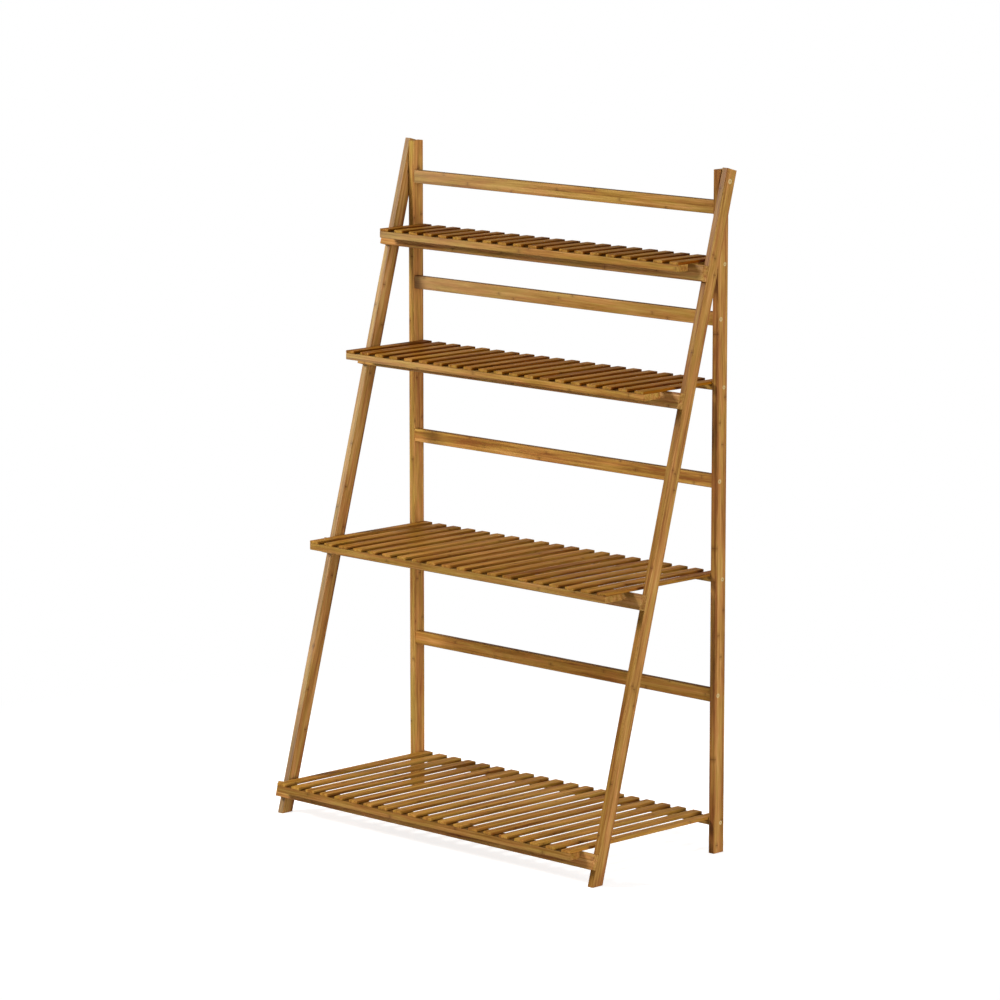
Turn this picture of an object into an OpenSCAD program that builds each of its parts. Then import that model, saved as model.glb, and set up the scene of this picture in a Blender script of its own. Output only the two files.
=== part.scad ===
// Folding ladder shelf in bamboo: a straight rear frame, a leaning front frame hinged
// to its top, and four slatted shelves that hinge on the rear posts and rest on rungs.
// Millimetres. +X is the width to the right, +Y is the depth to the back, +Z is up.
// The origin is on the floor, at the middle of the footprint box.

/* [Overall] */
// Width over the outer faces of the two front legs
unit_w = 800; // [600:1:1100]
// Height of the rear posts
unit_h = 1219; // [1160:1:1500]
// Lean of the front frame from the vertical, in degrees
lean = 15.3; // [12:0.1:18]

/* [Posts and legs] */
// Thickness of a rear post, across the unit
post_t = 13; // [11:0.5:20]
// Depth of a rear post, front to back
post_d = 26; // [25:0.5:36]
// Thickness of a front leg, across the unit
leg_t = 13; // [10:0.5:20]
// Depth of a front leg, square to its length
leg_d = 25; // [20:0.5:34]
// Radius of the rounded edges on posts, legs, rungs and rails
bar_ease = 1.5; // [0.5:0.1:2.5]

/* [Rungs and back rails] */
// Height of a front rung, along the leg that carries it
rung_h = 28; // [18:0.5:34]
// Thickness of a front rung, square to the leg
rung_t = 14; // [10:0.5:20]
// Height of a back rail
rail_h = 24; // [16:0.5:34]
// Thickness of a back rail
rail_t = 13; // [8:0.5:13]
// Setback of the back rails from the front faces of the posts
rail_setback = 1.5; // [0:0.5:3]
// Top of the first back rail above the top shelf
rail_1_rise = 101; // [80:1:110]
// Top of the second back rail above the second shelf
rail_2_rise = 122; // [90:1:160]
// Top of the third back rail above the third shelf
rail_3_rise = 177; // [90:1:300]
// Top of the fourth back rail above the bottom shelf
rail_4_rise = 233; // [90:1:380]

/* [Shelf heights] */
// How far the top shelf's upper face lies below the top of the posts
shelf_1_drop = 155; // [140:1:180]
// Rise from the second shelf to the top shelf
rise_2_to_1 = 217; // [195:1:270]
// Rise from the third shelf to the second shelf
rise_3_to_2 = 342; // [270:1:400]
// Height of the bottom shelf's upper face above the floor
shelf_4_z = 65; // [55:1:90]

/* [Shelf decks] */
// How far the top deck reaches past the upper edge of its rung
nose_1 = 35; // [29:1:45]
// How far the second deck reaches past the upper edge of its rung
nose_2 = 63; // [50:1:80]
// How far the third deck reaches past the upper edge of its rung
nose_3 = 63; // [50:1:80]
// How far the bottom deck reaches past the upper edge of its rung
nose_4 = 29; // [29:1:45]
// Width of a slat
slat_w = 21; // [12:0.5:32]
// Thickness of a slat
slat_t = 5; // [4:0.5:7]
// Gap aimed at between two slats
slat_gap_aim = 17; // [8:0.5:28]
// Radius of the rounded edges on slats and battens
slat_ease = 1; // [0.4:0.1:1.8]
// Height of the battens that carry the slats
batten_h = 12; // [10:0.5:14]
// Depth of the front batten on the top and bottom shelves
short_batten_d = 25; // [14:0.5:25]
// Depth of the front batten on the two middle shelves
long_batten_d = 44; // [20:0.5:45]
// Depth of the rear batten that carries the pivots
rear_batten_d = 17; // [17:0.5:24]

/* [Hardware] */
// Diameter of the shelf pivot bolt's shank
shelf_pin_d = 5; // [4:0.5:6]
// Diameter of the shelf pivot bolt's head
shelf_head_d = 7; // [6.5:0.5:11]
// Height of the shelf pivot bolt's head
shelf_head_h = 2.5; // [1.5:0.1:3.5]
// Distance of the shelf pivots from the rear faces of the posts
shelf_pin_in = 8.5; // [7:0.5:9]
// Reach of a shelf pivot bolt into the end of the rear batten
shelf_pin_bite = 25; // [15:1:40]
// Diameter of the frame bolt's shank
frame_bolt_d = 6; // [5:0.5:8]
// Diameter of the frame bolt's head
frame_head_d = 9; // [8.5:0.5:14]
// Height of the frame bolt's head
frame_head_h = 3; // [2:0.1:4]
// Distance of the frame bolts from the rear faces of the posts
frame_bolt_in = 13; // [11:0.5:14]
// Distance of the frame bolts from the top of the posts
frame_bolt_drop = 20; // [16:1:40]
// Length of a front leg above the frame bolt, up to its square end
leg_top = 21.5; // [12:0.5:30]
// Outer diameter of the threaded insert in the post
insert_d = 9; // [8:0.5:11]
// Length of the threaded insert in the post
insert_l = 10; // [7:0.5:10.5]
// Outer diameter of the washer between leg and post
washer_d = 15; // [12:0.5:18]
// Thickness of the washer between leg and post
washer_t = 1.3; // [0.8:0.1:2]
// Shank diameter of the wood screws
screw_d = 4; // [3:0.5:5]
// Head diameter of the wood screws
screw_head_d = 8; // [6:0.5:9]
// Reach of a rail screw into the end of its rail
rail_screw_bite = 28; // [15:1:40]
// Reach of a rung screw into its rung
rung_screw_bite = 9; // [6:0.5:9.5]

/* [Clearances] */
// Running clearance of a bolt in its hole, on the radius
run_clear = 0.05; // [0.03:0.01:0.09]
// Clearance round and over a sunk bolt head
head_clear = 0.2; // [0.1:0.05:0.4]
// Clearance of a washer's face from the turning leg
washer_clear = 0.2; // [0.1:0.05:0.4]
// Clearance of a deck and its rear batten from each post
deck_clear = 1; // [0.5:0.1:2]
// Clearance under the slats where they rest on a rung
rest_clear = 0.2; // [0.1:0.05:0.3]

/* [Hidden] */
$fn = 24;
// Sides that stand for a full turn of a rounded edge
ease_sides = 16;

bamboo = [0.71, 0.50, 0.26];
bamboo_dark = [0.62, 0.42, 0.20];
bamboo_slat = [0.67, 0.46, 0.23];
steel = [0.78, 0.78, 0.76];
brass = [0.78, 0.63, 0.32];

// Small excess of a cut past the face it opens
cut = 1;

// Stations across the unit, from the outside in, on the right-hand side
leg_out = unit_w / 2;
leg_in = leg_out - leg_t;
post_out = leg_in - washer_t - washer_clear;
post_in = post_out - post_t;
deck_half = post_in - deck_clear;

// Shelves and rails from the top down
shelf_1_z = unit_h - shelf_1_drop;
shelf_2_z = shelf_1_z - rise_2_to_1;
shelf_3_z = shelf_2_z - rise_3_to_2;
shelf_z = [shelf_1_z, shelf_2_z, shelf_3_z, shelf_4_z];
rail_z = shelf_z + [rail_1_rise, rail_2_rise, rail_3_rise, rail_4_rise];
nose = [nose_1, nose_2, nose_3, nose_4];
front_batten_d = [short_batten_d, long_batten_d, long_batten_d, short_batten_d];

// Each rung's upper front edge is the line that the slats rest on
rung_z = [for (z = shelf_z) z - slat_t - rest_clear];

// Forward reach, measured from the rear faces of the posts
pivot_z = unit_h - frame_bolt_drop;
function leg_reach(z) = frame_bolt_in + (pivot_z - z) * tan(lean) + leg_d / 2 / cos(lean);
function rung_reach(z) = leg_reach(z) + rung_t / cos(lean);
shelf_depth = [for (k = [0:3]) rung_reach(rung_z[k]) + nose[k]];
leg_top_overhang = max(0, leg_d / 2 * cos(lean) + leg_top * sin(lean) - frame_bolt_in);

// The footprint box is centred on the origin
back_y = (max(max(shelf_depth), leg_reach(0)) - leg_top_overhang) / 2;
post_y = back_y - post_d / 2;
pivot_y = back_y - frame_bolt_in;
rail_y = back_y - post_d + rail_setback + rail_t / 2;
shelf_pin_y = back_y - shelf_pin_in;
batten_mid = slat_t + batten_h / 2;

// Slats are spread evenly, with one flush at each end of the deck
slat_n = round((2 * deck_half + slat_gap_aim) / (slat_w + slat_gap_aim));
slat_pitch = (2 * deck_half - slat_w) / (slat_n - 1);
slat_x = [for (i = [0:slat_n - 1]) -deck_half + slat_w / 2 + i * slat_pitch];

screw_head_h = (screw_head_d - screw_d) / 2;
frame_bore_l = leg_t - frame_head_h - head_clear;
shelf_sink = shelf_head_h + 2 * head_clear;

// A bar along +Z with rounded edges, its section centred on the axis
module eased_bar(length, width, depth, ease) {
    x = width / 2 - ease;
    y = depth / 2 - ease;
    linear_extrude(height = length) union() {
        square([width, 2 * y], center = true);
        square([2 * x, depth], center = true);
        for (px = [-x, x], py = [-y, y]) translate([px, py]) circle(r = ease, $fn = ease_sides);
    }
}

// A bar along X, centred on x = 0, with its section in Y and Z
module cross_bar(length, depth, height, ease)
    translate([-length / 2, 0, 0]) rotate([90, 0, 90]) eased_bar(length, depth, height, ease);

// A round hole or pin along +X
module along_x(length, d) rotate([0, 90, 0]) cylinder(h = length, d = d);

module both_sides() {
    children();
    mirror([1, 0, 0]) children();
}

// A sunk-head wood screw along -X, its head flush with x = 0
module wood_screw(length) {
    rotate([0, -90, 0]) {
        cylinder(h = screw_head_h, d1 = screw_head_d, d2 = screw_d);
        cylinder(h = length, d = screw_d);
    }
}

// A sunk bolt along -X with a hexagon socket, the outside of its head at x = 0
module socket_bolt(head_d, head_h, shank_d, length) {
    socket_d = shank_d * 0.7;
    difference() {
        rotate([0, -90, 0]) {
            cylinder(h = head_h, d = head_d);
            cylinder(h = length, d = shank_d);
        }
        translate([-head_h * 0.6, 0, 0]) rotate([0, 90, 0]) cylinder(h = head_h, d = socket_d, $fn = 6);
    }
}

// Rear frame

module at_frame_pivot() translate([0, pivot_y, pivot_z]) children();

module at_shelf_pivot(k) translate([0, shelf_pin_y, shelf_z[k] - batten_mid]) children();

module at_rail_screw(k) translate([0, rail_y, rail_z[k] - rail_h / 2]) children();

module post() {
    difference() {
        translate([(post_in + post_out) / 2, post_y, 0]) eased_bar(unit_h, post_t, post_d, bar_ease);
        at_frame_pivot() translate([post_out - insert_l, 0, 0]) along_x(insert_l + cut, insert_d);
        for (k = [0:3]) {
            at_shelf_pivot(k) translate([post_in - cut, 0, 0])
                along_x(post_t + 2 * cut, shelf_pin_d + 2 * run_clear);
            at_shelf_pivot(k) translate([post_out - shelf_sink, 0, 0])
                along_x(shelf_sink + cut, shelf_head_d + 2 * head_clear);
            at_rail_screw(k) translate([post_out, 0, 0]) wood_screw(post_t + cut);
        }
    }
}

module post_right() color(bamboo) post();

module post_left() color(bamboo) mirror([1, 0, 0]) post();

module back_rail(k) {
    color(bamboo_dark) difference() {
        translate([0, rail_y, rail_z[k] - rail_h / 2]) cross_bar(2 * post_in, rail_t, rail_h, bar_ease);
        both_sides() at_rail_screw(k) translate([post_in - rail_screw_bite, 0, 0])
            along_x(rail_screw_bite + cut, screw_d);
    }
}

module rail_screws()
    color(steel) for (k = [0:3]) both_sides() at_rail_screw(k)
        translate([post_out, 0, 0]) wood_screw(post_t + rail_screw_bite);

module pivot_inserts()
    color(brass) both_sides() at_frame_pivot() translate([post_out - insert_l, 0, 0])
        difference() {
            along_x(insert_l, insert_d);
            translate([-cut, 0, 0]) along_x(insert_l + 2 * cut, frame_bolt_d);
        }

module frame_bolts()
    color(steel) both_sides() at_frame_pivot() translate([leg_out - head_clear, 0, 0])
        socket_bolt(frame_head_d, frame_head_h, frame_bolt_d, leg_out - head_clear - post_out + insert_l);

module frame_washers()
    color(steel) both_sides() at_frame_pivot() translate([post_out, 0, 0])
        difference() {
            along_x(washer_t, washer_d);
            translate([-cut, 0, 0]) along_x(washer_t + 2 * cut, frame_bolt_d + 2 * run_clear);
        }

// Front frame, drawn upright about the pivot and then leaned forward

module leaned() at_frame_pivot() rotate([-lean, 0, 0]) children();

// Height along the leg of the middle of a rung, from the pivot
function rung_mid(k) =
    (rung_z[k] - pivot_z - (leg_d / 2 + rung_t) * sin(lean)) / cos(lean) - rung_h / 2;

module at_rung(k) translate([0, -leg_d / 2, rung_mid(k)]) children();

// Rung screws run forward through the leg from its rear face
module at_rung_screw(k)
    translate([(leg_in + leg_out) / 2, leg_d / 2, rung_mid(k)]) rotate([0, 0, 90]) children();

// A front leg ends square at the top and level with the floor at the foot
module leg() {
    below = pivot_z / cos(lean) + leg_d;
    difference() {
        leaned() difference() {
            translate([(leg_in + leg_out) / 2, 0, -below])
                eased_bar(below + leg_top, leg_t, leg_d, bar_ease);
            translate([leg_in - cut, 0, 0]) along_x(leg_t + 2 * cut, frame_bolt_d + 2 * run_clear);
            translate([leg_in + frame_bore_l - head_clear, 0, 0])
                along_x(leg_t, frame_head_d + 2 * head_clear);
            for (k = [0:3]) at_rung_screw(k) wood_screw(leg_d + cut);
        }
        translate([0, -2 * unit_h, -unit_h]) cube([unit_w, 4 * unit_h, unit_h]);
    }
}

module leg_right() color(bamboo) leg();

module leg_left() color(bamboo) mirror([1, 0, 0]) leg();

module rung(k) {
    color(bamboo_dark) leaned() difference() {
        at_rung(k) translate([0, -rung_t / 2, 0]) cross_bar(unit_w, rung_t, rung_h, bar_ease);
        both_sides() at_rung_screw(k) wood_screw(leg_d + rung_screw_bite);
    }
}

module rung_screws()
    color(steel) leaned() for (k = [0:3]) both_sides()
        at_rung_screw(k) wood_screw(leg_d + rung_screw_bite);

// Shelves

function front_y(k) = back_y - shelf_depth[k];

module slats(k)
    color(bamboo_slat) for (x = slat_x)
        translate([x, back_y, shelf_z[k] - slat_t / 2]) rotate([90, 0, 0])
            eased_bar(shelf_depth[k], slat_w, slat_t, slat_ease);

module batten(k, y, depth)
    translate([0, y, shelf_z[k] - batten_mid]) cross_bar(2 * deck_half, depth, batten_h, slat_ease);

module front_batten(k)
    color(bamboo) batten(k, front_y(k) + front_batten_d[k] / 2, front_batten_d[k]);

module rear_batten(k) {
    color(bamboo) difference() {
        batten(k, back_y - rear_batten_d / 2, rear_batten_d);
        both_sides() at_shelf_pivot(k) translate([deck_half - shelf_pin_bite, 0, 0])
            along_x(shelf_pin_bite + cut, shelf_pin_d);
    }
}

module shelf_bolts(k) {
    bolt_l = post_out - head_clear - deck_half + shelf_pin_bite;
    color(steel) both_sides() at_shelf_pivot(k) translate([post_out - head_clear, 0, 0])
        socket_bolt(shelf_head_d, shelf_head_h, shelf_pin_d, bolt_l);
}

post_left();
post_right();
back_rail(0);  // back_rail_1
back_rail(1);  // back_rail_2
back_rail(2);  // back_rail_3
back_rail(3);  // back_rail_4
rail_screws();
pivot_inserts();
frame_bolts();
frame_washers();
leg_left();
leg_right();
rung(0);  // rung_1
rung(1);  // rung_2
rung(2);  // rung_3
rung(3);  // rung_4
rung_screws();
slats(0);  // shelf_1_slats
front_batten(0);  // shelf_1_front_batten
rear_batten(0);  // shelf_1_rear_batten
shelf_bolts(0);  // shelf_1_bolts
slats(1);  // shelf_2_slats
front_batten(1);  // shelf_2_front_batten
rear_batten(1);  // shelf_2_rear_batten
shelf_bolts(1);  // shelf_2_bolts
slats(2);  // shelf_3_slats
front_batten(2);  // shelf_3_front_batten
rear_batten(2);  // shelf_3_rear_batten
shelf_bolts(2);  // shelf_3_bolts
slats(3);  // shelf_4_slats
front_batten(3);  // shelf_4_front_batten
rear_batten(3);  // shelf_4_rear_batten
shelf_bolts(3);  // shelf_4_bolts
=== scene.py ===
import math

import bmesh
import bpy
from mathutils import Matrix, Vector


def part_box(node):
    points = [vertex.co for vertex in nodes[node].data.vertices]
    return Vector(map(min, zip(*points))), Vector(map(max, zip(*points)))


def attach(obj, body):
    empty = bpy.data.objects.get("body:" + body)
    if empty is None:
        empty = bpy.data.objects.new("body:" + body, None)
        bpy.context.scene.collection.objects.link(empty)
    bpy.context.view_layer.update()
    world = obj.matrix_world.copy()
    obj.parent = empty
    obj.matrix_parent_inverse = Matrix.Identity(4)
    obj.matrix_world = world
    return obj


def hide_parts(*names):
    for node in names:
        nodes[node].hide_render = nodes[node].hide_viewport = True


MM = 0.001
QUARTER = math.pi / 2
SHELVES = (1, 2, 3, 4)  # from the top down
LEAN = math.radians(15.3)  # lean of the front legs and their rungs

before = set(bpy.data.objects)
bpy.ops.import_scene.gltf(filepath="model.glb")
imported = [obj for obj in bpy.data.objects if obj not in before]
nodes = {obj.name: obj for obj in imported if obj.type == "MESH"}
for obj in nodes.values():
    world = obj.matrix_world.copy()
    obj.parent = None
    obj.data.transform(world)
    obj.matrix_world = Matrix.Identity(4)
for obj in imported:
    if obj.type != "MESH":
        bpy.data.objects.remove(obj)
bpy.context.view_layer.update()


# Materials


def linear(code):
    """An sRGB hex colour as linear RGBA."""
    parts = [int(code[i : i + 2], 16) / 255 for i in (1, 3, 5)]
    return [c / 12.92 if c <= 0.04045 else ((c + 0.055) / 1.055) ** 2.4 for c in parts] + [1.0]


def add(tree, kind, settings=None, **links):
    """Adds a shader node. Settings are its properties. Links are its inputs, named in full or
    by their number as i0 or i1, and each is a value or the socket that feeds it."""
    node = tree.nodes.new("ShaderNode" + kind)
    for name, value in (settings or {}).items():
        setattr(node, name, value)
    for name, value in links.items():
        key = int(name[1:]) if name[1:].isdigit() else name.replace("_", " ")
        socket = node.inputs[key]
        if isinstance(value, bpy.types.NodeSocket):
            tree.links.new(value, socket)
        else:
            socket.default_value = value
    return node


def material(name):
    """A node material with an empty tree."""
    made = bpy.data.materials.new(name)
    made.use_nodes = True
    made.node_tree.nodes.clear()
    return made, made.node_tree


# Settings that several nodes share
SMOOTH = {"interpolation_type": "SMOOTHSTEP"}
PLUS = {"operation": "ADD"}
TIMES = {"operation": "MULTIPLY"}
TIMES_PLUS = {"operation": "MULTIPLY_ADD"}
COVER = {"data_type": "RGBA", "blend_type": "MIX"}  # a colour that hides what is under it
GLAZE = {"data_type": "RGBA", "blend_type": "MULTIPLY"}  # one that only darkens it

# Carbonised bamboo, sawn into laths, glued side by side, sanded and lacquered satin.
# The eye sees strips of slightly different browns, long fibres and now and then the
# darker band of a culm joint.
STRIP = 6.5 * MM  # width of one lath in the laminate
LATH = 40.0  # longer than any piece, so that each lath runs through
GRAIN_START = (7.0, 0.37 * STRIP, 0.61 * STRIP)  # keeps ends and edges of laths off the origin
# Each figure of the wood: length and width of a mark, detail and roughness of its noise
DRIFT = (190 * MM, 14 * MM, 2.0, 0.5)  # the brown drifts slowly along a piece
STREAKS = (110 * MM, 3.4 * MM, 3.0, 0.6)
FIBRES = (30 * MM, 0.55 * MM, 2.0, 0.6)  # bundles drawn twice as coarse as they are, to show
PATCHES = (60 * MM, 8 * MM, 1.0, 0.5)  # these lean to red or to olive
PATCH_START = (1.3, 0.7, 0.2)
REDDISH = "#fff4ff"
OLIVE = "#f6fdf2"
# A noise keeps mostly to the middle of its range, so that part is spread over its whole share
DRIFT_SPAN = (0.3, 0.7)
FINE_SPAN = (0.25, 0.75)  # of the streaks and the fibres
PATCH_SPAN = (0.35, 0.65)
STREAK_DEPTH = 0.3  # how far streaks and fibres go from the middle brown
FIBRE_DEPTH = 0.22
PIECE_TONES = (0.4, 0.6)  # between these lies the middle brown of a piece
DARK_AT = 0.08  # places of the dark, the base and the light brown in the whole range
BASE_AT = 0.5
LIGHT_AT = 0.92
JOINT = 380 * MM  # distance between two culm joints of a lath
JOINT_SHIFT = 2.7  # how far at most a lath is shifted, so that its joints miss its neighbours'
JOINT_LINE = (0.3 * MM, 1.5 * MM, 0.35)  # a dark line: where it fades from and to, its strength
JOINT_HALO = (1 * MM, 9 * MM, 1.0)  # the soft brown around it
HALO_SHARE = 0.3  # how strong the halo is in the colour, and how far it rises in the relief
HALO_RISE = 0.6
POINT_VALUES = ("tone", "painted_shade", "painted_light")  # what the points of a piece tell its bamboo
PAINTED_SHADE_GLAZE = "#cba853"  # what full painted shade takes from the colour of the wood
# painted sheen: a greyish painted reflection of the white surround on the lacquer
SHEEN_COLOUR = "#94a395"
SHEEN_FROM = -0.4  # where along X the painted sheen of a long rail is full and where it ends
SHEEN_TO = 0.1
FACING = (0.6, 0.95)  # cosines between which a side starts to look in a direction
SANDED = (0.42, 0.58)  # roughness of the wood, between the fibres and on them


def figure(tree, grain, length, width, detail, roughness, start=(0, 0, 0)):
    """A noise whose marks are drawn out along the grain to this length and width."""
    across = 1 / width
    scale = (1 / length, across, across)
    drawn = add(tree, "Mapping", Vector=grain, Location=start, Scale=scale).outputs[0]
    noise = add(tree, "TexNoise", Vector=drawn, Scale=1.0, Detail=detail, Roughness=roughness)
    return noise.outputs["Fac"]


def culm_joints(tree, grain, pick):
    """The dark line and the halo of the culm joints, which each lath has at its own places."""
    along = add(tree, "SeparateXYZ", Vector=grain).outputs[0]
    moved = add(tree, "Math", TIMES_PLUS, i0=pick, i1=JOINT_SHIFT, i2=along).outputs[0]
    away = add(tree, "Math", {"operation": "PINGPONG"}, i0=moved, i1=JOINT / 2).outputs[0]
    return [
        add(
            tree,
            "MapRange",
            SMOOTH,
            Value=away,
            From_Min=near,
            From_Max=far,
            To_Min=strength,
            To_Max=0.0,
        ).outputs[0]
        for near, far, strength in (JOINT_LINE, JOINT_HALO)
    ]


def brown(tree, shares, tones):
    """The brown of a place. The shares are added up, and each is a value, the ends of its
    range and what it adds at these."""
    total = None
    for value, low, high, least, most in shares:
        share = add(
            tree, "MapRange", Value=value, From_Min=low, From_Max=high, To_Min=least, To_Max=most
        ).outputs[0]
        if total is None:
            total = share
        else:
            total = add(tree, "Math", PLUS, i0=total, i1=share).outputs[0]
    ramp = add(tree, "ValToRGB", Fac=total)
    stops = ramp.color_ramp.elements
    stops[0].position, stops[0].color = DARK_AT, linear(tones["dark"])
    stops[1].position, stops[1].color = LIGHT_AT, linear(tones["light"])
    stops.new(BASE_AT).color = linear(tones["base"])
    return ramp.outputs["Color"]


def mottled(tree, grain, colour):
    """A colour with patches, a few centimetres long, that lean to red or to olive."""
    hue = figure(tree, grain, *PATCHES, PATCH_START)
    low, high = PATCH_SPAN
    leaning = add(tree, "MapRange", Value=hue, From_Min=low, From_Max=high).outputs[0]
    tint = add(tree, "Mix", COVER, i0=leaning, i6=linear(REDDISH), i7=linear(OLIVE)).outputs[2]
    return add(tree, "Mix", GLAZE, i0=1.0, i6=colour, i7=tint).outputs[2]


def with_painted_sheen(tree, place, colour, amount):
    """A colour under a painted greyish sheen, a painted reflection, which fades out from the left
    end to the right.
    """
    share = add(
        tree,
        "MapRange",
        Value=add(tree, "SeparateXYZ", Vector=place).outputs[0],
        From_Min=SHEEN_FROM,
        From_Max=SHEEN_TO,
        To_Min=amount,
        To_Max=0.0,
    ).outputs[0]
    return add(tree, "Mix", COVER, i0=share, i6=colour, i7=linear(SHEEN_COLOUR)).outputs[2]


def painted_on_side(tree, normal, colour, direction, blend, tint, amount):
    """A colour with painted light or shade on the side that looks in a direction."""
    cosine = add(tree, "VectorMath", {"operation": "DOT_PRODUCT"}, i0=normal, i1=direction)
    low, high = FACING
    share = add(
        tree,
        "MapRange",
        SMOOTH,
        Value=cosine.outputs["Value"],
        From_Min=low,
        From_Max=high,
        To_Max=amount,
    ).outputs[0]
    return add(tree, "Mix", blend, i0=share, i6=colour, i7=linear(tint)).outputs[2]


def lacquered(tree, colour, fibre, halo):
    """Sanded wood under a thin coat of satin lacquer, which gives all the shine. Its fibres and
    the halos of its joints stand up a little."""
    low, high = SANDED
    rough = add(tree, "MapRange", Value=fibre, To_Min=low, To_Max=high).outputs[0]
    raised = add(tree, "Math", TIMES_PLUS, i0=halo, i1=HALO_RISE, i2=fibre).outputs[0]
    relief = add(tree, "Bump", Strength=0.25, Distance=0.25 * MM, Height=raised).outputs[0]
    shader = add(
        tree,
        "BsdfPrincipled",
        Base_Color=colour,
        Roughness=rough,
        Normal=relief,
        IOR=1.5,
        Specular_IOR_Level=0.0,
        Coat_Weight=0.1,
        Coat_Roughness=0.32,
    )
    add(tree, "OutputMaterial", Surface=shader.outputs[0])


def bamboo(look, turn, tones, shade=1.0, laths=0.2, clouds=0.16, painted_sheen=0.0, face=None):
    """Bamboo whose grain runs along the pattern's X after turning the object by turn. Shade
    lightens or darkens the whole piece as painted light or shade, laths is how far the browns of
    its laths differ and clouds how far its brown drifts. Painted_sheen is how much of a painted
    greyish sheen, a painted reflection, lies on the left end, and face is painted light or
    shade that only lies on the side that looks in a direction: (direction, cover or glaze, colour,
    amount)."""
    made, tree = material("Carbonised bamboo laminate, " + look)
    where = add(tree, "TexCoord")
    place = where.outputs["Object"]
    grain = add(tree, "Mapping", Vector=place, Rotation=turn, Location=GRAIN_START).outputs[0]
    tone, painted_shade, painted_light = (
        add(tree, "Attribute", {"attribute_name": key, "attribute_type": "GEOMETRY"}).outputs["Fac"]
        for key in POINT_VALUES
    )
    # each lath of the laminate gets its own brown and its own places for the culm joints
    lath = add(tree, "VectorMath", {"operation": "SNAP"}, i0=grain, i1=(LATH, STRIP, STRIP))
    own = add(tree, "TexWhiteNoise", {"noise_dimensions": "4D"}, Vector=lath.outputs[0], W=tone)
    pick = own.outputs["Value"]
    fibre = figure(tree, grain, *FIBRES)
    shares = (
        (pick, 0.0, 1.0, -laths, laths),
        (figure(tree, grain, *DRIFT), *DRIFT_SPAN, -clouds, clouds),
        (figure(tree, grain, *STREAKS), *FINE_SPAN, -STREAK_DEPTH, STREAK_DEPTH),
        (fibre, *FINE_SPAN, -FIBRE_DEPTH, FIBRE_DEPTH),
        (tone, 0.0, 1.0, *PIECE_TONES),
    )
    colour = brown(tree, shares, tones)
    line, halo = culm_joints(tree, grain, pick)
    weak = add(tree, "Math", TIMES_PLUS, i0=halo, i1=HALO_SHARE, i2=line).outputs[0]
    colour = add(tree, "Mix", COVER, i0=weak, i6=colour, i7=linear(tones["knot"])).outputs[2]
    colour = mottled(tree, grain, colour)
    # painted shade darkens some pieces, and most the flanks of the slats in the gaps between them
    colour = add(tree, "Mix", GLAZE, i0=painted_shade, i6=colour, i7=linear(PAINTED_SHADE_GLAZE)).outputs[2]
    # painted light, or painted shade where negative, and the material's shade lighten or darken a
    # piece throughout
    painted_gain = add(tree, "Math", PLUS, i0=painted_light, i1=shade).outputs[0]
    colour = add(tree, "VectorMath", {"operation": "SCALE"}, i0=colour, Scale=painted_gain).outputs[0]
    if painted_sheen:
        colour = with_painted_sheen(tree, place, colour, painted_sheen)
    if face:
        colour = painted_on_side(tree, where.outputs["Normal"], colour, *face)
    lacquered(tree, colour, fibre, halo)
    return made


# Posts, legs and rungs, then rails and battens, then slats
TONES = {"base": "#a87b3f", "light": "#c4985d", "dark": "#7c4d26", "knot": "#553018"}
GOLDEN_TONES = {"base": "#a87b39", "light": "#c49855", "dark": "#7c4d22", "knot": "#553016"}
WARM_TONES = {"base": "#a8782f", "light": "#c59449", "dark": "#7d4b1c", "knot": "#553016"}
# The pattern's X is turned to lie along X, Y, Z, the leaning rungs or the leaning legs
ALONG_X = (0, 0, 0)
ALONG_Y = (0, 0, -QUARTER)
ALONG_Z = (0, QUARTER, 0)
ALONG_RUNG = (LEAN, 0, 0)
ALONG_LEG = (LEAN, QUARTER, 0)
TO_TOP = (0.0, 0.0, 1.0)
TO_FRONT = (0.0, -1.0, 0.0)
TO_LEG_FRONT = (0.0, -math.cos(LEAN), math.sin(LEAN))

bamboo_y = bamboo("grain front to back", ALONG_Y, WARM_TONES)
bamboo_rung = bamboo("leaning rungs", ALONG_RUNG, TONES)
# Rails and battens get painted shade on their upper side, and the upper ones a painted sheen, a
# painted reflection, towards the left
painted_top_shade = (TO_TOP, GLAZE, "#cbc8c0", 1.0)
bamboo_lower = bamboo("grain across", ALONG_X, GOLDEN_TONES, laths=0.15, face=painted_top_shade)
bamboo_upper = bamboo(
    "grain across, bloomed", ALONG_X, GOLDEN_TONES, laths=0.15, painted_sheen=0.14, face=painted_top_shade
)
bamboo_x = {1: bamboo_upper, 2: bamboo_upper, 3: bamboo_lower, 4: bamboo_lower}
# The posts are lightened with painted light through shade, and their fronts darkened with painted
# shade
bamboo_post_left = bamboo(
    "grain upright, pale",
    ALONG_Z,
    TONES,
    shade=1.56,
    laths=0.06,
    face=(TO_FRONT, GLAZE, "#dceadf", 1.0),
)
bamboo_post_right = bamboo(
    "grain upright",
    ALONG_Z,
    TONES,
    shade=1.21,
    laths=0.14,
    face=(TO_FRONT, GLAZE, "#e6e0da", 1.0),
)
# The left leg is lightened with painted light, and its front has a painted greyish sheen, a painted
# reflection
bamboo_leg_left = bamboo(
    "grain along the leaning legs, bloomed",
    ALONG_LEG,
    TONES,
    shade=1.09,
    clouds=0.34,
    face=(TO_LEG_FRONT, COVER, SHEEN_COLOUR, 0.2),
)
# The right leg is lightened with painted light through shade, and its front darkened with painted
# shade
bamboo_leg_right = bamboo(
    "grain along the leaning legs",
    ALONG_LEG,
    TONES,
    shade=1.16,
    laths=0.06,
    face=(TO_LEG_FRONT, GLAZE, "#e6e2c9", 1.0),
)


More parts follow.
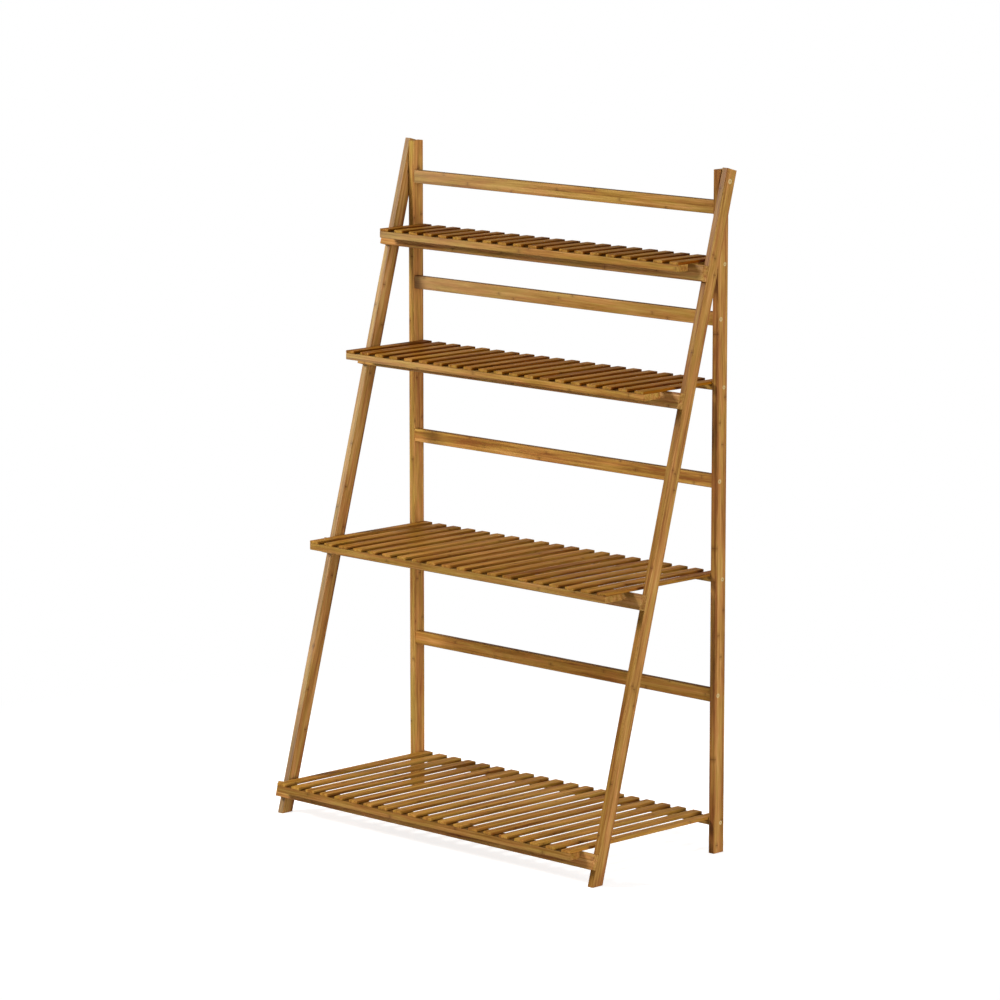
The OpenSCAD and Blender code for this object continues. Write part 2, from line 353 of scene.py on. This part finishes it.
def metal(name, colour, smooth, rough, pit):
    """Small hardware: marks of the size pit break up its shine, from smooth to rough."""
    made, tree = material(name)
    where = add(tree, "TexCoord")
    mark = add(
        tree,
        "TexNoise",
        Vector=where.outputs["Object"],
        Scale=1 / pit,
        Detail=2.0,
        Roughness=0.5,
    ).outputs["Fac"]
    shine = add(tree, "MapRange", Value=mark, To_Min=smooth, To_Max=rough).outputs[0]
    relief = add(tree, "Bump", Strength=0.15, Distance=0.05 * MM, Height=mark).outputs[0]
    shader = add(
        tree,
        "BsdfPrincipled",
        Base_Color=linear(colour),
        Metallic=1.0,
        Roughness=shine,
        Normal=relief,
    )
    add(tree, "OutputMaterial", Surface=shader.outputs[0])
    return made


# Both give a dull yellowish shine. That of the plating is paler, with coarser marks from the
# die than the turning leaves on the brass.
zinc = metal("Yellow zinc-plated steel, cold-headed", "#c9b07c", 0.30, 0.48, 0.8 * MM)
brass = metal("Brass, turned", "#c8a050", 0.27, 0.45, 0.6 * MM)


def paint(obj, made):
    """Gives an object one material in place of its own."""
    obj.data.materials.clear()
    obj.data.materials.append(made)


# Pieces

BAR_EASE = 1.3 * MM  # radius sanded on the edges of rails and rungs
SLAT_EASE = 0.9 * MM  # radius sanded on the edges of slats and battens
SKIN = 0.4  # share of that radius within which a point lies on the face
SOFT_EDGE = math.radians(32)  # steeper edges stay sharp
SLAT_W = 21 * MM
SLAT_GAP = 17 * MM  # aimed at, and then the slats are spread evenly
SLAT_TRIM = 0.25 * MM  # how uneven the front ends of the slats are
NAIL_HEAD = 2.6 * MM  # brads driven from below through the battens into the slats
NAIL_FACE = 0.84 * NAIL_HEAD  # the flat of the head, inside its slope
NAIL_RISE = 0.25 * MM
NAIL_STAGGER = 5 * MM
NAIL_SIDES = 16
RUNG_T = 14 * MM  # thickness and height of a rung, square to its lean
RUNG_H = 28 * MM
POST_T = 13 * MM
LEG_T = 13 * MM  # a leg from side to side, and from front to rear square to its lean
LEG_D = 25 * MM
SCREW_D = 4 * MM
SCREW_HEAD = 8 * MM
SCREW_TIP = 0.15  # width of the tip as a share of the shank
RAIL_BITE = 28 * MM  # how far the screws go into the rails and into the rungs
RUNG_BITE = 9 * MM
CROSS_ARM = 0.55 * MM  # half the width of an arm of the recess
CROSS_REACH = 2.3 * MM
CROSS_DEEP = 1.3 * MM
CROSS_FLOOR = 0.55  # size of the floor of the recess as a share of its mouth

# How much painted shade darkens a piece, from the top shelf down. The upper decks get more,
# the flanks of their slats in the gaps between them the most, and the lowest batten and rail some.
DECK_PAINTED_SHADE = {1: 0.4, 2: 0.4, 3: 0.25, 4: 0.1}
FLANK_PAINTED_SHADE = {1: 0.85, 2: 0.75, 3: 0.05, 4: 0.0}
BATTEN_PAINTED_SHADE = {1: 0.0, 2: 0.0, 3: 0.0, 4: 0.2}
RAIL_PAINTED_SHADE = {1: 0.0, 2: 0.0, 3: 0.0, 4: 0.35}
# How much painted light lightens a piece, or painted shade darkens it where negative. The ends of
# the slats get no painted shade, only their own painted light or shade.
DECK_PAINTED_LIGHT = {1: 0.08, 2: 0.15, 3: 0.2, 4: 0.18}
END_PAINTED_LIGHT = {1: -0.13, 2: -0.13, 3: -0.07, 4: 0.1}
BATTEN_PAINTED_LIGHT = {1: -0.02, 2: 0.05, 3: -0.16, 4: -0.1}
RAIL_PAINTED_LIGHT = {1: 0.0, 2: -0.05, 3: 0.2, 4: 0.22}
RUNG_PAINTED_LIGHT = {1: 0.1, 2: 0.08, 3: -0.06, 4: 0.2}
# Keeps the draws of pieces of different kinds apart
SALT = {"front": 3, "rear": 7, "trim": 10, "rail": 21, "rung": 33, "post": 41, "leg": 51}


def spread(index, salt):
    """A repeatable number from 0 to 1 for the tone of a piece. The factors only scatter it."""
    return (math.sin(index * 12.9898 + salt * 78.233) * 43758.5453) % 1.0


def bar(bm, low, high, ease, tone, painted_shade=0.0, flank_shade=0.0, painted_light=0.0, painted_light_on_top=False, ends=None):
    """Adds a bar between two corners with sanded edges. Its points carry the piece's tone, its
    painted shade and its painted light. Flank_shade is the extra painted shade on the faces to its
    left and right, in the gaps between the slats, painted_light_on_top keeps the painted light to
    its upper face, and ends is the painted light or shade of its front and rear ends, which then
    get no other painted shade."""
    own = bm.verts.layers.float
    toned, painted_shade_layer, painted_light_layer = (own.get(key) or own.new(key) for key in POINT_VALUES)
    made = bmesh.ops.create_cube(bm, size=1.0)["verts"]
    bmesh.ops.scale(bm, vec=high - low, verts=made)
    bmesh.ops.translate(bm, vec=(low + high) / 2, verts=made)
    done = bmesh.ops.bevel(
        bm,
        geom=list({e for v in made for e in v.link_edges}),
        offset=ease,
        offset_type="OFFSET",
        segments=3,
        profile=0.5,
        affect="EDGES",
        material=-1,
        clamp_overlap=True,
    )
    for v in {v for f in done["faces"] for v in f.verts}:
        v[toned] = tone
        side = min(v.co.x - low.x, high.x - v.co.x)
        v[painted_shade_layer] = painted_shade + flank_shade * max(0.0, 1.0 - side / ease)
        on_top = high.z - v.co.z < SKIN * ease
        v[painted_light_layer] = painted_light if on_top or not painted_light_on_top else 0.0
        if ends is not None and min(v.co.y - low.y, high.y - v.co.y) < SKIN * ease:
            v[painted_shade_layer], v[painted_light_layer] = 0.0, ends


def nail_head(bm, where):
    """Adds the low round head of a brad that looks down from where."""
    made = bmesh.ops.create_cone(
        bm,
        cap_ends=True,
        segments=NAIL_SIDES,
        radius1=NAIL_FACE / 2,
        radius2=NAIL_HEAD / 2,
        depth=NAIL_RISE,
    )["verts"]
    bmesh.ops.translate(bm, vec=where - Vector((0, 0, NAIL_RISE / 2)), verts=made)


def cross_screw(bm, length, place, turn):
    """Adds a countersunk wood screw with a cross recess. It is drawn with its head at the
    origin and its tip down, turned about itself and then put in its place."""
    kept = set(bm.verts)
    rim = SCREW_HEAD / 2
    steps = (-rim, -CROSS_REACH, -CROSS_ARM, CROSS_ARM, CROSS_REACH, rim)
    cells = len(steps) - 1
    for v in bmesh.ops.create_grid(bm, x_segments=cells, y_segments=cells, size=rim)["verts"]:
        across, along = (round((c / rim + 1) * cells / 2) for c in v.co[:2])
        v.co = Vector((steps[across], steps[along], 0))
        if {across, along} & {0, cells}:
            v.co = v.co.normalized() * rim
    fresh = {f for v in bm.verts if v not in kept for f in v.link_faces}
    ring = [e for f in fresh for e in f.edges if e.is_boundary]
    middles = [(f, f.calc_center_median()) for f in fresh]
    cross = [
        f
        for f, c in middles
        if min(abs(c.x), abs(c.y)) < CROSS_ARM and max(abs(c.x), abs(c.y)) < CROSS_REACH
    ]
    sunk = bmesh.ops.extrude_face_region(bm, geom=cross)["geom"]
    bmesh.ops.delete(bm, geom=cross, context="FACES")
    floor = [g for g in sunk if isinstance(g, bmesh.types.BMVert)]
    bmesh.ops.scale(bm, vec=(CROSS_FLOOR, CROSS_FLOOR, 1), verts=floor)
    bmesh.ops.translate(bm, vec=(0, 0, -CROSS_DEEP), verts=floor)
    taper = (SCREW_HEAD - SCREW_D) / 2
    drop = 0.0
    for reach, narrow in (
        (taper, SCREW_D / SCREW_HEAD),
        (length - taper, 1.0),
        (length, SCREW_TIP),
    ):
        grown = bmesh.ops.extrude_edge_only(bm, edges=ring)["geom"]
        ring = [g for g in grown if isinstance(g, bmesh.types.BMEdge)]
        verts = [g for g in grown if isinstance(g, bmesh.types.BMVert)]
        bmesh.ops.scale(bm, vec=(narrow, narrow, 1), verts=verts)
        bmesh.ops.translate(bm, vec=(0, 0, drop - reach), verts=verts)
        drop = reach
    bmesh.ops.contextual_create(bm, geom=ring)
    made = [v for v in bm.verts if v not in kept]
    bmesh.ops.transform(bm, matrix=place @ Matrix.Rotation(turn, 4, "Z"), verts=made)


def piece(name, bm, body, made, *stands_for, material_slot="bamboo"):
    """Turns a finished bmesh into a piece that rides on a body in place of CAD nodes."""
    bmesh.ops.recalc_face_normals(bm, faces=bm.faces)
    mesh = bpy.data.meshes.new(name)
    bm.to_mesh(mesh)
    bm.free()
    mesh.shade_smooth()
    mesh.set_sharp_from_angle(angle=SOFT_EDGE)
    obj = bpy.data.objects.new(name, mesh)
    bpy.context.scene.collection.objects.link(obj)
    paint(obj, made)
    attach(obj, body)
    if stands_for:
        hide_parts(*stands_for)


def deck(k, count, pitch):
    """The slats of a shelf, side by side from left to right."""
    low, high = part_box(f"shelf_{k}_slats")
    bm = bmesh.new()
    for i in range(count):
        x = low.x + i * pitch
        trim = SLAT_TRIM * spread(i, SALT["trim"] * k)
        bar(
            bm,
            Vector((x, low.y + trim, low.z)),
            Vector((x + SLAT_W, high.y, high.z)),
            SLAT_EASE,
            spread(i, k),
            DECK_PAINTED_SHADE[k],
            FLANK_PAINTED_SHADE[k],
            DECK_PAINTED_LIGHT[k],
            painted_light_on_top=True,
            ends=END_PAINTED_LIGHT[k],
        )
    piece(f"shelf_{k}_deck", bm, f"shelf_{k}", bamboo_y, f"shelf_{k}_slats")


def bearers(k, count, pitch):
    """The two battens under a shelf, and the nails driven up through them into its slats."""
    nails = bmesh.new()
    for where in ("front", "rear"):
        node = f"shelf_{k}_{where}_batten"
        low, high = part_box(node)
        for i in range(count):
            x = low.x + SLAT_W / 2 + i * pitch
            aside = (i % 2 - 0.5) * NAIL_STAGGER
            nail_head(nails, Vector((x, (low.y + high.y) / 2 + aside, low.z)))
        bm = bmesh.new()
        tone = spread(k, SALT[where])
        bar(bm, low, high, SLAT_EASE, tone, BATTEN_PAINTED_SHADE[k], painted_light=BATTEN_PAINTED_LIGHT[k])
        piece(f"shelf_{k}_{where}_bearer", bm, f"shelf_{k}", bamboo_x[k], node)
    piece(f"shelf_{k}_nails", nails, f"shelf_{k}", zinc, material_slot="hardware")


def back_rail(k):
    """A rail between the posts, in place of the CAD's."""
    node = f"back_rail_{k}"
    low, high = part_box(node)
    bm = bmesh.new()
    tone = spread(k, SALT["rail"])
    bar(bm, low, high, BAR_EASE, tone, RAIL_PAINTED_SHADE[k], painted_light=RAIL_PAINTED_LIGHT[k])
    piece(f"rear_rail_{k}", bm, "rear_frame", bamboo_x[k], node)


def rung(k):
    """A rung across the legs. It is drawn upright, leant with the legs and put in its place."""
    node = f"rung_{k}"
    low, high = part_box(node)
    half = Vector(((high.x - low.x) / 2, RUNG_T / 2, RUNG_H / 2))
    bm = bmesh.new()
    bar(bm, -half, half, BAR_EASE, spread(k, SALT["rung"]), painted_light=RUNG_PAINTED_LIGHT[k])
    bmesh.ops.rotate(bm, cent=(0, 0, 0), matrix=Matrix.Rotation(-LEAN, 3, "X"), verts=bm.verts)
    bmesh.ops.translate(bm, vec=(low + high) / 2, verts=bm.verts)
    piece(f"front_rung_{k}", bm, "front_frame", bamboo_rung, node)


def wood_screws():
    """The screws through the posts into the rails and through the legs into the rungs."""
    to_rear = Vector((0, math.cos(LEAN), -math.sin(LEAN)))
    post_screws = bmesh.new()
    leg_screws = bmesh.new()
    for k in SHELVES:
        for side in (-1, 1):
            low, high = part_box(f"back_rail_{k}")
            at = (low + high) / 2
            at.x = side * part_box("post_right")[1].x
            place = Matrix.Translation(at) @ Matrix.Rotation(side * QUARTER, 4, "Y")
            turn = spread(k, SALT["post"] + side)
            cross_screw(post_screws, POST_T + RAIL_BITE, place, turn)
            low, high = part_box(f"rung_{k}")
            at = (low + high) / 2 + to_rear * (LEG_D + RUNG_T / 2)
            at.x = side * (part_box("leg_right")[1].x - LEG_T / 2)
            place = Matrix.Translation(at) @ Matrix.Rotation(-QUARTER - LEAN, 4, "X")
            turn = spread(k, SALT["leg"] + side)
            cross_screw(leg_screws, LEG_D + RUNG_BITE, place, turn)
    piece("post_screws", post_screws, "rear_frame", zinc, "rail_screws", material_slot="hardware")
    piece("leg_screws", leg_screws, "front_frame", zinc, "rung_screws", material_slot="hardware")


for k in SHELVES:
    low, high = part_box(f"shelf_{k}_slats")
    count = round((high.x - low.x + SLAT_GAP) / (SLAT_W + SLAT_GAP))
    pitch = (high.x - low.x - SLAT_W) / (count - 1)
    deck(k, count, pitch)
    bearers(k, count, pitch)
for k in SHELVES:
    back_rail(k)
for k in SHELVES:
    rung(k)
wood_screws()

# The CAD's own meshes that stay
for name, made in (
    ("post_left", bamboo_post_left),
    ("post_right", bamboo_post_right),
    ("leg_left", bamboo_leg_left),
    ("leg_right", bamboo_leg_right),
    ("frame_bolts", zinc),
    ("frame_washers", zinc),
    ("pivot_inserts", brass),
    *((f"shelf_{k}_bolts", zinc) for k in SHELVES),
):
    paint(nodes[name], made)


# Studio: pale paper on the floor, soft panels and a white surround

FLOOR_REACH = 30.0
FLOOR_DROP = 0.5 * MM  # the paper lies this far under the feet, so that the two don't mingle
FLOOR_LIFT = 0.78  # how much white the camera sees in the paper beside what the lamps give
FADE_FROM = 0.5  # under the unit the paper takes its shadow, and between these distances
FADE_TO = 1.5  # from the middle it fades into the white surround
WHITE = (1, 1, 1, 1)
SURROUND = 0.16  # strength of the even light from all around
AIM = Vector((0, 0, 0.75))  # a little over the middle of the unit, where the lamps point
# The camera that took the picture, found by a fit to it: width of the film and length of the
# lens in millimetres, its place, and how many degrees it looks down and to the left
FILM = 36.0
LENS = 172.81
EYE = (5.9419, -6.0190, 2.0591)
EYE_DOWN = 9.7112
EYE_LEFT = 44.5725

scene = bpy.context.scene
scene.view_settings.view_transform = "Standard"


def camera_eye(tree):
    """1 where the camera sees a thing directly, through glass or in a shine, otherwise 0."""
    ray = add(tree, "LightPath")
    seen = ray.outputs["Is Camera Ray"]
    for kind in ("Is Transmission Ray", "Is Glossy Ray"):
        seen = add(tree, "Math", {"operation": "MAXIMUM"}, i0=seen, i1=ray.outputs[kind]).outputs[0]
    return seen


def studio_floor():
    """Matt white paper that takes the unit's shadow and fades out further away."""
    bm = bmesh.new()
    bmesh.ops.create_grid(bm, x_segments=1, y_segments=1, size=FLOOR_REACH)
    mesh = bpy.data.meshes.new("studio_floor")
    bm.to_mesh(mesh)
    bm.free()
    obj = bpy.data.objects.new("studio_floor", mesh)
    obj.location.z = -FLOOR_DROP
    scene.collection.objects.link(obj)
    made, tree = material("Matt white paper")
    seen = camera_eye(tree)
    where = add(tree, "TexCoord")
    away = add(tree, "VectorMath", {"operation": "LENGTH"}, i0=where.outputs["Object"])
    far = add(
        tree,
        "MapRange",
        SMOOTH,
        Value=away.outputs["Value"],
        From_Min=FADE_FROM,
        From_Max=FADE_TO,
    )
    fade = add(tree, "Math", TIMES, i0=far.outputs[0], i1=seen)
    lift = add(tree, "Math", TIMES, i0=seen, i1=FLOOR_LIFT)
    paper = add(
        tree,
        "BsdfPrincipled",
        Base_Color=linear("#dcdcdc"),
        Roughness=0.9,
        Specular_IOR_Level=0.0,
    )
    glow = add(tree, "Emission", Color=WHITE, Strength=lift.outputs[0])
    white = add(tree, "Emission", Color=WHITE, Strength=1.0)
    lifted = add(tree, "AddShader", i0=paper.outputs[0], i1=glow.outputs[0])
    faded = add(tree, "MixShader", i0=fade.outputs[0], i1=lifted.outputs[0], i2=white.outputs[0])
    add(tree, "OutputMaterial", Surface=faded.outputs[0])
    paint(obj, made)


def surround(level):
    """White where the camera looks past the floor, a dimmer even light for the object."""
    world = bpy.data.worlds.new("Studio surround")
    scene.world = world
    world.use_nodes = True
    tree = world.node_tree
    tree.nodes.clear()
    strength = add(tree, "MapRange", Value=camera_eye(tree), To_Min=level, To_Max=1.0)
    shade = add(tree, "Background", Color=WHITE, Strength=strength.outputs[0])
    add(tree, "OutputWorld", Surface=shade.outputs[0])


def panel(name, azimuth, away, height, size, watts, glossy=True):
    """A square soft light that faces the unit. Without glossy it gives no shine on the lacquer."""
    a = math.radians(azimuth)
    data = bpy.data.lights.new(name, "AREA")
    data.size = size
    data.energy = watts
    lamp = bpy.data.objects.new(name, data)
    lamp.visible_glossy = glossy
    lamp.location = (math.sin(a) * away, -math.cos(a) * away, height)
    lamp.rotation_mode = "QUATERNION"
    lamp.rotation_quaternion = (AIM - lamp.location).to_track_quat("-Z", "Y")
    scene.collection.objects.link(lamp)


def photo_camera():
    """The camera that sees the unit as the photograph does."""
    camera = bpy.data.cameras.new("camera")
    camera.sensor_width = FILM
    camera.lens = LENS
    camera.clip_end = 200
    eye = bpy.data.objects.new("camera", camera)
    eye.location = EYE
    eye.rotation_euler = (math.radians(90 - EYE_DOWN), 0, math.radians(EYE_LEFT))
    scene.collection.objects.link(eye)
    scene.camera = eye


studio_floor()
surround(SURROUND)
panel("front panel", -38, 3.3, 2.55, 0.9, 143)
panel("right panel", 84, 8.0, 1.1, 3.4, 521)
panel("rear fill", 222, 7.0, 0.7, 3.0, 260, glossy=False)
photo_camera()
